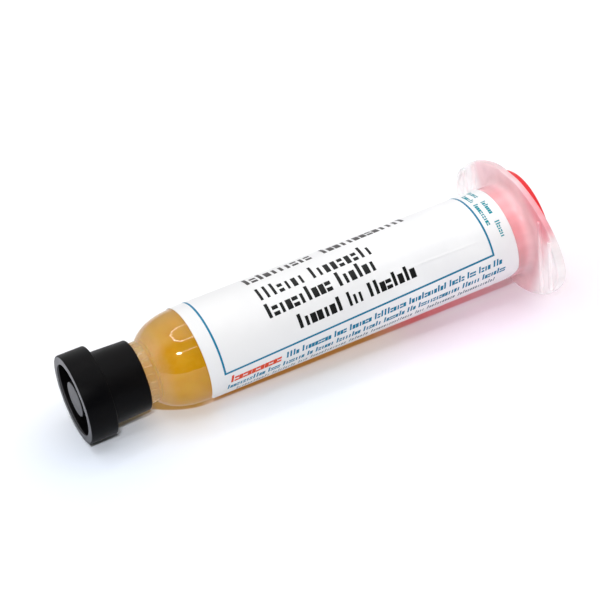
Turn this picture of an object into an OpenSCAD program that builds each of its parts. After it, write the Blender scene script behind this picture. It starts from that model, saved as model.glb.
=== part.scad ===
// Prefilled flux syringe, lying on its side.
// The barrel's axis runs along X: the tip cap is at -X and the finger flange at +X.
// Stations along the axis are measured from the plane where the straight wall meets the dome.

/* [Barrel] */
// Outer radius of the straight wall
barrel_r = 9.3; // [8.5:0.1:10.5]
// Thickness of the straight wall
barrel_wall = 1.35; // [1:0.05:1.8]
// Length from the dome to the back of the flange
barrel_len = 70.1; // [62:0.1:85]
// Depth of the domed front end
dome_len = 11.7; // [9.5:0.1:14]
// Thickness of the dome at its pole
dome_wall = 1.5; // [1.1:0.1:2]
// Fullness of the dome, where 2 is an ellipse
dome_power = 2.53; // [2:0.01:3]

/* [Flange] */
// Thickness of the flange plate
flange_t = 1.2; // [0.9:0.1:2]
// Height of the flange above the wall, up to its flats
flange_lip = 3.3; // [2.6:0.1:4]
// Reach of each wing beyond the wall
wing_reach = 9.8; // [8:0.1:12]
// Fullness of the flange's outline
flange_power = 1.77; // [1.6:0.01:2.2]
// Depth that the flats take off the outline's crests
flat_cut = 0.25; // [0.15:0.05:0.5]
// Radius of the fillet between the wall and the flange
flange_fillet = 1.2; // [0.6:0.1:1.6]
// Distance of the first finger rib from the wall
rib_start = 3; // [2.4:0.1:3.6]
// Distance between the finger ribs
rib_pitch = 3.4; // [2.6:0.1:4]
// Width of a finger rib
rib_w = 0.8; // [0.5:0.1:1.2]
// Height of a finger rib above the plate
rib_h = 0.6; // [0.3:0.1:1]
// Width of the raised edge at the wing's end
edge_w = 0.9; // [0.5:0.1:1.2]

/* [Nozzle] */
// Step from the collar out to the hub at the dome's pole
hub_step = 0.8; // [0.5:0.05:1.1]
// Reach of the hub's gussets beyond the hub
gusset_reach = 0.3; // [0.2:0.05:0.5]
// Width of a gusset
gusset_w = 0.5; // [0.3:0.05:0.8]
// Number of gussets
gusset_count = 24; // [12:2:30]
// Thickness of the locking collar's wall
collar_wall = 1.15; // [0.9:0.05:1.3]
// Length of the locking collar
collar_len = 6.35; // [5.2:0.05:6.6]
// Length of the tapered nozzle, from the hub's face
nozzle_len = 8.2; // [7.5:0.1:8.6]
// Radius of the nozzle at its tip
nozzle_tip_r = 1.98; // [1.9:0.01:2.05]
// Growth of the nozzle's radius for each unit of length
nozzle_taper = 0.03; // [0.02:0.005:0.04]
// Radius of the outlet
outlet_r = 1.15; // [0.8:0.05:1.3]

/* [Tip cap] */
// Radius of the cap's rim
rim_r = 8.7; // [8.3:0.1:9.1]
// Length of the rim
rim_len = 5.35; // [4.8:0.05:6.5]
// Thickness of the rim's wall round the recess
rim_wall = 1.73; // [1.5:0.01:2.2]
// Depth of the recess
recess_depth = 4.6; // [3.6:0.1:4.8]
// Thickness of the web at the recess's floor
web_t = 1.8; // [1.2:0.1:2.4]
// Thickness of the sleeve's wall beside the rim
sleeve_wall = 1.6; // [1.2:0.05:1.8]
// Draft of the sleeve: how much smaller its radius is at the dome
sleeve_draft = 0.25; // [0:0.05:0.4]
// Radius of the centre post, which holds the nozzle's socket
post_r = 3.42; // [3.3:0.01:3.5]
// Distance of the post's end behind the rim's face
post_set_back = 0.4; // [0.1:0.1:1]
// Room between the post and the collar's bore, for the thread
thread_room = 0.63; // [0.5:0.01:0.8]
// Clearance of the post's lugs in the collar's bore
lug_gap = 0.18; // [0.1:0.01:0.3]
// Width of a lug
lug_w = 1.6; // [1.2:0.1:2]
// Length of a lug along the axis
lug_len = 1.2; // [0.8:0.1:1.6]
// Rounding of the cap's edges
cap_round = 0.3; // [0.1:0.05:0.5]

/* [Piston and flux] */
// Overall length of the piston
piston_len = 21.8; // [18:0.1:25]
// Length of the piston's nose
nose_len = 9.4; // [7:0.1:10]
// How much smaller the foot of the nose is than the bore
nose_relief = 0.95; // [0.7:0.05:1.4]
// Width of each wiper lip
lip_w = 1.3; // [0.8:0.1:2]
// Length of the slope beside each wiper lip
lip_rise = 0.5; // [0.3:0.1:0.9]
// How much smaller the waist between the lips is than the bore
waist_relief = 0.6; // [0.3:0.05:0.9]
// Thickness of the piston's wall round the hollow in its back
piston_wall = 1.65; // [1.2:0.05:2.4]
// Depth of the hollow in the piston's back
cup_depth = 9.5; // [6:0.1:11]
// Free length between the piston and the end cap
air_len = 7; // [3:0.5:12]

/* [End cap] */
// Reach of the disc beyond the barrel's wall
disc_lip = 1.7; // [1:0.1:2.4]
// Thickness of the disc
disc_t = 2.1; // [1.4:0.1:3]
// Bevel of the disc's edges
disc_bevel = 0.4; // [0.2:0.05:0.6]
// Length of the skirt inside the barrel
skirt_len = 9.5; // [6:0.1:12]
// Thickness of the skirt's wall
skirt_wall = 1.1; // [0.8:0.1:1.6]
// Width of each sealing bead on the skirt
bead_w = 0.9; // [0.6:0.1:1.4]
// Depth of the skirt's wall behind its beads
bead_h = 0.2; // [0.1:0.05:0.4]

/* [Label] */
// Thickness of the label
label_t = 0.09; // [0.06:0.01:0.15]
// Distance that the label's front edge lies ahead of the dome's plane
label_ahead = 1.4; // [0:0.1:1.8]
// Bare wall between the label and the flange
label_bare = 3.9; // [2.5:0.1:10]
// Width of the label around the barrel
label_w = 39.7; // [20:0.1:44]
// Turn of the label's middle line, upwards from +Y
label_turn = 106.4; // [60:0.1:140]
// Radius of the label's corners
label_corner = 4; // [1:0.5:8]
// Slant of the label, as a slope
label_slant = 0.041; // [0:0.001:0.06]

/* [Clearances] */
// Radial clearance of the wiper lips and the end cap's beads in the bore
bore_gap = 0.04; // [0.02:0.01:0.1]
// Radial clearance of the nozzle in its socket
socket_gap = 0.04; // [0.02:0.01:0.1]
// Clearance between the cap's sleeve and the collar
sleeve_gap = 0.35; // [0.2:0.05:0.5]
// Clearance between end faces that seat on each other
seat_gap = 0.12; // [0.05:0.01:0.3]
// Clearance between the nozzle's tip and the socket's floor
socket_end_gap = 0.5; // [0.3:0.05:0.8]
// Clearance around the flux
fill_gap = 0.03; // [0.02:0.01:0.1]
// Clearance under the label
label_gap = 0.02; // [0.02:0.01:0.05]

/* [Hidden] */
$fn = 96;
join = 0.01;
overrun = 1;
curve_steps = 18;
outline_steps = 18;
label_cols = 8;
label_rows = 64;

bore_r = barrel_r - barrel_wall;
cavity_len = dome_len - dome_wall;
flange_front = barrel_len - flange_t;
rest_h = barrel_r + flange_lip;
crest_h = rest_h + flat_cut;
wing_w = barrel_r + wing_reach;
edge_from = rib_start + rib_pitch + rib_w;

collar_bore_r = post_r + thread_room;
collar_r = collar_bore_r + collar_wall;
hub_r = collar_r + hub_step;
hub_face = -dome_len;
nozzle_tip = hub_face - nozzle_len;

cap_back = hub_face - seat_gap;
sleeve_bore_r = collar_r + sleeve_gap;
sleeve_r = sleeve_bore_r + sleeve_wall;
recess_r = rim_r - rim_wall;
web_back = hub_face - collar_len - sleeve_gap;
recess_floor = web_back - web_t;
cap_front = recess_floor - recess_depth;
rim_back = cap_front + rim_len;
post_front = cap_front + post_set_back;
post_back = hub_face - sleeve_gap;
lug_h = thread_room - lug_gap;

disc_front = barrel_len + seat_gap;
cap_rear = disc_front + disc_t;
disc_r = barrel_r + disc_lip;
skirt_front = barrel_len - skirt_len;
skirt_r = bore_r - bore_gap;

piston_back = skirt_front - air_len;
nose_tip = piston_back - piston_len;
lip_r = bore_r - bore_gap;
waist_r = bore_r - waist_relief;
nose_r = bore_r - nose_relief;
cup_r = waist_r - piston_wall;
lip_front = nose_tip + nose_len;

label_r = barrel_r + label_gap;
label_len = barrel_len - flange_t - label_bare + label_ahead;

mid_x = (cap_front + cap_rear) / 2;

// Moves what is built along the syringe's axis into the part's own frame
module in_place() {
    translate([-mid_x, 0, rest_h]) rotate([0, 90, 0]) children();
}

// A quarter of a superellipse, from its widest ring to its pole, as [radius, station]
function dome_curve(r, len, power, way) = [
    for (i = [0 : curve_steps])
        let (t = 90 * i / curve_steps)
        [r * pow(cos(t), 2 / power), way * len * pow(sin(t), 2 / power)]
];

// Half height of the flange's outline at a distance y from its middle
function outline_h(y) = crest_h * pow(1 - pow(abs(y) / wing_w, flange_power), 1 / flange_power);

// The flange's outline, moved inwards by inset and cut by the flats
function outline(inset) = [
    for (q = [0 : 3], i = [0 : outline_steps - 1])
        let (
            t = 90 * (q + i / outline_steps),
            y = (wing_w - inset) * sign(cos(t)) * pow(abs(cos(t)), 2 / flange_power),
            z = (crest_h - inset) * sign(sin(t)) * pow(abs(sin(t)), 2 / flange_power)
        )
        [max(-rest_h, min(rest_h, z)), y]
];

// Radius of the nozzle at a distance from the hub's face
function nozzle_r(d) = nozzle_tip_r + nozzle_taper * (nozzle_len - d);

// A tube along the axis
module tube(r_out, r_in, from, to) {
    translate([0, 0, from])
        difference() {
            cylinder(r = r_out, h = to - from);
            translate([0, 0, -join]) cylinder(r = r_in, h = to - from + 2 * join);
        }
}

// The closed front end with the straight wall behind it
module wall_form() {
    rotate_extrude()
        polygon(concat([[0, barrel_len], [barrel_r, barrel_len]], dome_curve(barrel_r, dome_len, dome_power, -1)));
}

// Room for the flux, the piston and the end cap's skirt
module cavity() {
    rotate_extrude()
        polygon(concat(
            [[0, barrel_len + join], [bore_r, barrel_len + join]],
            dome_curve(bore_r, cavity_len, dome_power, -1)
        ));
}

// Ring that rounds the corner between the wall and the flange's front
module fillet_ring() {
    translate([0, 0, flange_front])
        rotate_extrude()
            difference() {
                translate([barrel_r - join, -flange_fillet]) square([flange_fillet + join, flange_fillet + join]);
                translate([barrel_r + flange_fillet, -flange_fillet]) circle(r = flange_fillet);
            }
}

// A finger rib across one wing, at a distance y from the barrel's axis
module finger_rib(y) {
    half = outline_h(abs(y) + rib_w / 2) - edge_w / 2;
    translate([-half, y - rib_w / 2, flange_front - rib_h]) cube([2 * half, rib_w, rib_h + join]);
}

// Raised edge around the end of both wings
module wing_edges() {
    translate([0, 0, flange_front - rib_h])
        linear_extrude(rib_h + join)
            difference() {
                polygon(outline(0));
                polygon(outline(edge_w));
                translate([-2 * rest_h, -barrel_r - edge_from]) square([4 * rest_h, 2 * (barrel_r + edge_from)]);
            }
}

module flange() {
    translate([0, 0, flange_front]) linear_extrude(flange_t) polygon(outline(0));
    fillet_ring();
    for (side = [-1, 1], i = [0 : 1]) finger_rib(side * (barrel_r + rib_start + i * rib_pitch));
    wing_edges();
}

// Hub at the dome's pole, with short gussets down the dome
module hub() {
    hub_root = -dome_len * pow(1 - pow(hub_r / barrel_r, dome_power), 1 / dome_power);
    translate([0, 0, hub_face]) cylinder(r = hub_r, h = hub_root - hub_face + dome_wall);
    for (i = [0 : gusset_count - 1])
        rotate([0, 0, 360 * i / gusset_count])
            translate([hub_r - join, -gusset_w / 2, hub_face])
                cube([gusset_reach + join, gusset_w, hub_root - hub_face + dome_wall]);
}

// Tapered nozzle in its locking collar
module nozzle() {
    translate([0, 0, nozzle_tip])
        cylinder(r1 = nozzle_tip_r, r2 = nozzle_r(0), h = nozzle_len + join);
    tube(collar_r, collar_bore_r, hub_face - collar_len, hub_face + join);
}

module barrel() {
    color([0.93, 0.88, 0.86, 0.6])
        in_place()
            difference() {
                union() {
                    wall_form();
                    hub();
                    nozzle();
                    flange();
                }
                cavity();
                translate([0, 0, nozzle_tip - join]) cylinder(r = outlet_r, h = nozzle_len + dome_wall + overrun);
            }
}

// The piston's outline, from its nose to its back, as a revolved form
module piston_form() {
    nose = [for (p = dome_curve(nose_r, nose_len, dome_power, -1)) [p[0], p[1] + nose_len]];
    body = [
        [cup_r, piston_len - cup_depth],
        [cup_r, piston_len],
        [lip_r, piston_len],
        [lip_r, piston_len - lip_w],
        [waist_r, piston_len - lip_w - lip_rise],
        [waist_r, nose_len + lip_w + 2 * lip_rise],
        [lip_r, nose_len + lip_w + lip_rise],
        [lip_r, nose_len + lip_rise]
    ];
    rotate_extrude() polygon(concat([[0, piston_len - cup_depth]], body, nose));
}

module piston() {
    color([0.86, 0.16, 0.16])
        in_place()
            translate([0, 0, nose_tip]) piston_form();
}

// Flux from the outlet to the piston's nose
module flux() {
    color([0.8, 0.58, 0.2])
        in_place()
            difference() {
                union() {
                    rotate_extrude()
                        polygon(concat(
                            [[0, lip_front], [bore_r - fill_gap, lip_front]],
                            dome_curve(bore_r - fill_gap, cavity_len - fill_gap, dome_power, -1)
                        ));
                    translate([0, 0, nozzle_tip + fill_gap])
                        cylinder(r = outlet_r - fill_gap, h = nozzle_len + dome_wall + overrun);
                }
                translate([0, 0, nose_tip - fill_gap])
                    rotate_extrude()
                        polygon(concat(
                            [[0, nose_len + overrun], [nose_r + fill_gap, nose_len + overrun]],
                            [for (p = dome_curve(nose_r + fill_gap, nose_len, dome_power, -1)) [p[0], p[1] + nose_len]]
                        ));
            }
}

// A point of the label: u runs 0 to 1 across it, v runs 0 to 1 along it, r is its radius
function label_point(u, v, r) =
    let (
        across = (u - 0.5) * label_w,
        from_edge = label_w / 2 - abs(across),
        c = max(0, label_corner - from_edge),
        trim = label_corner - sqrt(max(0, label_corner * label_corner - c * c)),
        along = (v - 0.5) * (label_len - 2 * trim),
        station = label_len / 2 - label_ahead + along + label_slant * across,
        turn = label_turn + (across - label_slant * along) / label_r * 180 / PI
    )
    [-r * sin(turn), r * cos(turn), station];

// Sheet wrapped round the wall: a grid of points outside and the same grid inside
module label_sheet() {
    count = (label_rows + 1) * (label_cols + 1);
    shares = [for (j = [0 : label_rows]) let (t = j / label_rows) (t + (1 - cos(180 * t)) / 2) / 2];
    outside = [for (j = [0 : label_rows], i = [0 : label_cols]) label_point(shares[j], i / label_cols, label_r + label_t)];
    inside = [for (j = [0 : label_rows], i = [0 : label_cols]) label_point(shares[j], i / label_cols, label_r)];
    function at(j, i) = j * (label_cols + 1) + i;
    skin = [for (j = [0 : label_rows - 1], i = [0 : label_cols - 1])
        [at(j, i), at(j, i + 1), at(j + 1, i + 1), at(j + 1, i)]];
    back = [for (f = skin) [f[2], f[1], f[0], f[3]] + [count, count, count, count]];
    rim_a = [for (i = [0 : label_cols - 1]) [at(0, i + 1), at(0, i), at(0, i) + count, at(0, i + 1) + count]];
    rim_b = [for (i = [0 : label_cols - 1])
        [at(label_rows, i), at(label_rows, i + 1), at(label_rows, i + 1) + count, at(label_rows, i) + count]];
    rim_c = [for (j = [0 : label_rows - 1]) [at(j, 0), at(j + 1, 0), at(j + 1, 0) + count, at(j, 0) + count]];
    rim_d = [for (j = [0 : label_rows - 1])
        [at(j + 1, label_cols), at(j, label_cols), at(j, label_cols) + count, at(j + 1, label_cols) + count]];
    quads = concat(skin, back, rim_a, rim_b, rim_c, rim_d);
    halves = [for (q = quads, k = [0, 1]) [q[0], q[1 + k], q[2 + k]]];
    polyhedron(concat(outside, inside), halves, convexity = 4);
}

module label() {
    color([0.96, 0.96, 0.97]) in_place() label_sheet();
}

// Two lugs on the post's open end, which turn into the collar's thread
module post_lugs() {
    for (side = [-1, 1])
        translate([side * (post_r + lug_h / 2 - join), 0, post_back - lug_len / 2])
            cube([lug_h + 2 * join, lug_w, lug_len], center = true);
}

module tip_cap() {
    sleeve_end_r = sleeve_r - sleeve_draft;
    color([0.09, 0.09, 0.1])
        in_place() {
            difference() {
                rotate_extrude()
                    polygon([
                        [recess_r, cap_front],
                        [rim_r - cap_round, cap_front],
                        [rim_r, cap_front + cap_round],
                        [rim_r, rim_back - cap_round],
                        [rim_r - cap_round, rim_back],
                        [sleeve_r, rim_back],
                        [sleeve_end_r, cap_back - cap_round],
                        [sleeve_end_r - cap_round, cap_back],
                        [sleeve_bore_r, cap_back],
                        [sleeve_bore_r, web_back],
                        [0, web_back],
                        [0, recess_floor],
                        [recess_r, recess_floor]
                    ]);
                socket();
            }
            difference() {
                union() {
                    translate([0, 0, post_front]) cylinder(r = post_r, h = recess_floor - post_front + join);
                    translate([0, 0, web_back - join]) cylinder(r = post_r, h = post_back - web_back + join);
                    post_lugs();
                }
                socket();
            }
        }
}

// Tapered socket for the nozzle, closed towards the cap's free end
module socket() {
    translate([0, 0, nozzle_tip - socket_end_gap])
        cylinder(
            r1 = nozzle_r(nozzle_len + socket_end_gap) + socket_gap,
            r2 = nozzle_r(0) + socket_gap,
            h = nozzle_len + socket_end_gap
        );
}

module end_cap() {
    color([0.9, 0.12, 0.12])
        in_place()
            rotate_extrude()
                polygon([
                    [0, disc_front],
                    [0, cap_rear],
                    [disc_r - disc_bevel, cap_rear],
                    [disc_r, cap_rear - disc_bevel],
                    [disc_r, disc_front + disc_bevel],
                    [disc_r - disc_bevel, disc_front],
                    [skirt_r - bead_h, disc_front],
                    [skirt_r - bead_h, disc_front - bead_w - seat_gap],
                    [skirt_r, disc_front - bead_w - seat_gap - bead_h],
                    [skirt_r, disc_front - 2 * bead_w - seat_gap - bead_h],
                    [skirt_r - bead_h, disc_front - 2 * bead_w - seat_gap - 2 * bead_h],
                    [skirt_r - bead_h, skirt_front + 2 * bead_w + 2 * bead_h],
                    [skirt_r, skirt_front + 2 * bead_w + bead_h],
                    [skirt_r, skirt_front + bead_w + bead_h],
                    [skirt_r - 2 * bead_h, skirt_front],
                    [skirt_r - skirt_wall, skirt_front],
                    [skirt_r - skirt_wall, disc_front]
                ]);
}

barrel();
flux();
piston();
label();
tip_cap();
end_cap();
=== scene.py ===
"""Prefilled flux syringe on a pale table: its dressed pieces, the light and the camera.

Every piece is modelled in syringe millimetres, as (station, y, z). Stations run along the
syringe's axis from the plane where the straight wall meets the dome, and y and z are measured
from that axis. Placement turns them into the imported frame's metres.
"""

import logging
import math
import random
from abc import ABC, abstractmethod
from collections.abc import Iterable, Sequence
from dataclasses import dataclass
from enum import Enum

import bmesh
import bpy
from mathutils import Matrix, Vector


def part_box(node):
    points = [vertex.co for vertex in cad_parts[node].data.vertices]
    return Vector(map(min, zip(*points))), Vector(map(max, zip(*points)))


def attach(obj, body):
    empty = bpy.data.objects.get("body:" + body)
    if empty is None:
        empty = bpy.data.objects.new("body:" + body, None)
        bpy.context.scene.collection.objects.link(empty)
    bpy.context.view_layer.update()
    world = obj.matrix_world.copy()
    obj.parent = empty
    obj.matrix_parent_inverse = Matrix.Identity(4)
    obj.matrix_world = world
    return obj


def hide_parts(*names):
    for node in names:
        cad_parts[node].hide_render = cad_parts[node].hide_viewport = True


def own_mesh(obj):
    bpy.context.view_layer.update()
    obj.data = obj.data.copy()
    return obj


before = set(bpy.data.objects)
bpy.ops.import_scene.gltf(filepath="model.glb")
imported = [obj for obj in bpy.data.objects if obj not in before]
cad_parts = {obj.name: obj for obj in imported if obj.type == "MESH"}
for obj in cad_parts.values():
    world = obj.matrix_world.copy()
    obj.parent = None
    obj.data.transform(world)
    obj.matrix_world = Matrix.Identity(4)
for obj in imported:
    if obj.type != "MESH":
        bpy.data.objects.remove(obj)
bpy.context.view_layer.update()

LOG = logging.getLogger("flux_syringe")

MM = 0.001
FULL_TURN = 2.0 * math.pi
SPIN_STEPS = 192
MERGE_DISTANCE = 1e-4
AXIS = (1.0, 0.0, 0.0)
UP = (0.0, 0.0, 1.0)
CENTRE = (0.0, 0.0, 0.0)
WHITE = (1.0, 1.0, 1.0, 1.0)

DEGREE = math.radians(1.0)
NOISE_RANGE = (0.3, 0.7)

Point = tuple[float, float]
Colour = tuple[float, float, float]
Socket = bpy.types.NodeSocket
Material = bpy.types.Material
SceneObject = bpy.types.Object
Mesh = bmesh.types.BMesh
Face = bmesh.types.BMFace


# Placing and shaping


@dataclass(frozen=True)
class Placement:
    """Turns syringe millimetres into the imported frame's metres."""

    mouth_x: float
    axis_z: float
    mouth_station: float = 70.1

    @classmethod
    def of_frame(cls) -> "Placement":
        """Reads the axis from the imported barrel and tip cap.

        Returns:
            The placement that every piece shares.
        """
        barrel_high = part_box("barrel")[1]
        cap_low, cap_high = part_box("tip_cap")
        return cls(mouth_x=barrel_high.x, axis_z=(cap_low.z + cap_high.z) / 2)

    def matrix(self) -> Matrix:
        """Gives the matrix from syringe millimetres to frame metres."""
        origin = Vector((self.mouth_x - MM * self.mouth_station, 0.0, self.axis_z))
        return Matrix.Translation(origin) @ Matrix.Scale(MM, 4)

    def point(self, station: float, y: float, z: float) -> Vector:
        """Gives a syringe point in frame metres."""
        return self.matrix() @ Vector((station, y, z))


def dome_points(
    radius: float, depth: float, power: float, narrow: float = 0.0, steps: int = 26
) -> list[Point]:
    """Lists a superellipse from its widest ring, at station 0, towards its pole.

    Args:
        radius: Radius of the widest ring.
        depth: Distance from the widest ring to the pole.
        power: Fullness of the curve, where 2 is an ellipse.
        narrow: Radius at which the list stops.
        steps: Number of pieces of the curve.

    Returns:
        Points as (station, radius), with stations from 0 down.
    """
    last = math.acos((narrow / radius) ** (power / 2))
    turns = [last * i / steps for i in range(steps + 1)]
    return [
        (-depth * math.sin(t) ** (2 / power), radius * max(0.0, math.cos(t)) ** (2 / power))
        for t in turns
    ]


def corner_arc(centre: Point, radius: float, start: float, end: float, steps: int = 4) -> list[Point]:
    """Lists an arc of a lathe profile.

    Args:
        centre: Centre as (station, radius).
        radius: Radius of the arc.
        start: First angle in degrees, where 0 points to +station and 90 away from the axis.
        end: Last angle in degrees.
        steps: Number of pieces of the arc.

    Returns:
        Points as (station, radius).
    """
    angles = [(start + (end - start) * i / steps) * DEGREE for i in range(steps + 1)]
    return [(centre[0] + radius * math.cos(a), centre[1] + radius * math.sin(a)) for a in angles]


def lathe(points: Sequence[Point], closed: bool, steps: int = SPIN_STEPS) -> Mesh:
    """Turns a profile once round the syringe's axis.

    Args:
        points: Profile as (station, radius).
        closed: True joins the last point to the first; False leaves both ends on the axis.
        steps: Number of steps round the axis.

    Returns:
        A closed mesh with its faces pointing outwards.
    """
    bm = bmesh.new()
    verts = [bm.verts.new((station, radius, 0.0)) for station, radius in points]
    ends = verts[1:] + verts[:1] if closed else verts[1:]
    edges = [bm.edges.new(pair) for pair in zip(verts, ends)]
    bmesh.ops.spin(
        bm,
        geom=verts + edges,
        cent=CENTRE,
        axis=AXIS,
        dvec=CENTRE,
        angle=FULL_TURN,
        steps=steps,
        use_merge=True,
    )
    bmesh.ops.remove_doubles(bm, verts=bm.verts, dist=MERGE_DISTANCE)
    bmesh.ops.dissolve_degenerate(bm, dist=MERGE_DISTANCE / 10, edges=bm.edges)
    face_outwards(bm, bm.faces[:])
    return bm


def face_outwards(
    bm: Mesh, faces: Sequence[Face], consistent: bool = False
) -> None:
    """Turns the faces of closed shells outwards.

    Args:
        bm: Mesh that holds the shells.
        faces: All faces of one shell, or of several that already agree with each other.
        consistent: True where the faces agree, and only the whole may be inside out.
    """
    if not consistent:
        bmesh.ops.recalc_face_normals(bm, faces=faces)
    if sum(f.calc_area() * f.normal.dot(f.calc_center_median()) for f in faces) < 0:
        bmesh.ops.reverse_faces(bm, faces=faces)


def round_edges(bm: Mesh, edges: list[bmesh.types.BMEdge], width: float) -> None:
    """Rounds some edges with two faces across each.

    Args:
        bm: Mesh to change.
        edges: Edges to round.
        width: Width of the rounding.
    """
    bmesh.ops.bevel(
        bm,
        geom=edges,
        offset=width,
        offset_type="OFFSET",
        segments=2,
        profile=0.5,
        affect="EDGES",
        clamp_overlap=True,
        material=-1,
    )


def soften(bm: Mesh, width: float, sharper_than: float = 35.0) -> None:
    """Rounds the sharp edges of a mesh.

    Args:
        bm: Mesh to change.
        width: Width of the rounding.
        sharper_than: Edges that turn by more than this many degrees are rounded.
    """
    limit = sharper_than * DEGREE
    sharp = [e for e in bm.edges if len(e.link_faces) == 2 and e.calc_face_angle() > limit]
    round_edges(bm, sharp, width)


def add_block(
    bm: Mesh, centre: Vector, size: Vector, rounding: float, turn: float = 0.0
) -> None:
    """Adds a block with softened edges.

    Args:
        bm: Mesh that gets the block.
        centre: Middle of the block.
        size: Length along the axis, then across it, then away from it.
        rounding: Width of the rounding of its edges.
        turn: Turn about the syringe's axis in degrees, applied last.
    """
    place = (
        Matrix.Rotation(turn * DEGREE, 4, "X")
        @ Matrix.Translation(centre)
        @ Matrix.Diagonal((*size, 1.0))
    )
    made = bmesh.ops.create_cube(bm, size=1.0, matrix=place)
    round_edges(bm, list({e for v in made["verts"] for e in v.link_edges}), rounding)


def make_piece(
    bm: Mesh,
    name: str,
    placement: Placement,
    materials: Sequence[Material],
    smooth_below: float = 32.0,
) -> SceneObject:
    """Makes a finished mesh an object of the scene, with its place in its mesh.

    Args:
        bm: Mesh in syringe millimetres; it is freed.
        name: Name of the piece.
        placement: Where the syringe lies.
        materials: Materials in the order of the faces' material numbers.
        smooth_below: Edges that turn by more than this many degrees are drawn sharp.

    Returns:
        The new object.
    """
    bm.transform(placement.matrix())
    mesh = bpy.data.meshes.new(name)
    bm.to_mesh(mesh)
    bm.free()
    for material in materials:
        mesh.materials.append(material)
    mesh.shade_smooth()
    mesh.set_sharp_from_angle(angle=smooth_below * DEGREE)
    piece = bpy.data.objects.new(name, mesh)
    bpy.context.scene.collection.objects.link(piece)
    return piece


# Finishes


@dataclass(frozen=True)
class Grain:
    """Fineness of a noise: blobs to a millimetre, number of finer layers, and their share."""

    scale: float
    layers: float
    share: float


class NodeMaker:
    """Adds nodes to one tree and joins them."""

    def __init__(self, tree: bpy.types.NodeTree) -> None:
        """Takes the tree that the nodes go into."""
        self.tree = tree

    def add(self, kind: str, **settings: object) -> bpy.types.Node:
        """Adds a node and sets its properties.

        Args:
            kind: Type of the node.
            settings: Properties and their values.

        Returns:
            The node.
        """
        node = self.tree.nodes.new(kind)
        for key, value in settings.items():
            setattr(node, key, value)
        return node

    def link(self, source: Socket, target: Socket) -> None:
        """Joins two sockets."""
        self.tree.links.new(source, target)

    def found(self, kind: str) -> bpy.types.Node:
        """Gives the tree's first node of a kind."""
        return next(n for n in self.tree.nodes if n.type == kind)

    def spread(
        self, source: Socket, low: float, high: float, to_low: float = 0.0, to_high: float = 1.0
    ) -> Socket:
        """Maps low..high of a value smoothly onto to_low..to_high.

        Args:
            source: Value to map.
            low: Value that becomes to_low.
            high: Value that becomes to_high.
            to_low: Result at and below low.
            to_high: Result at and above high.

        Returns:
            The mapped value.
        """
        node = self.add("ShaderNodeMapRange", interpolation_type="SMOOTHSTEP")
        for key, value in zip(("From Min", "From Max", "To Min", "To Max"), (low, high, to_low, to_high)):
            node.inputs[key].default_value = value
        self.link(source, node.inputs["Value"])
        return node.outputs["Result"]

    def math(self, operation: str, first: Socket | float, second: Socket | float = 0.0) -> Socket:
        """Joins two values by a Math operation.

        Args:
            operation: Name of the operation.
            first: First value or socket.
            second: Second value or socket.

        Returns:
            The result.
        """
        node = self.add("ShaderNodeMath", operation=operation)
        for socket, value in zip(node.inputs, (first, second)):
            if isinstance(value, (int, float)):
                socket.default_value = value
            else:
                self.link(value, socket)
        return node.outputs["Value"]

    def product(self, first: Socket | float, *others: Socket | float) -> Socket:
        """Multiplies values.

        Args:
            first: First value or socket.
            others: Values or sockets to multiply it with.

        Returns:
            The product.
        """
        for other in others:
            first = self.math("MULTIPLY", first, other)
        return first

    def distance(self, *sides: Socket) -> Socket:
        """Gives the length of the line whose sides are two values."""
        return self.math("SQRT", self.math("ADD", *(self.product(side, side) for side in sides)))


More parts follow.
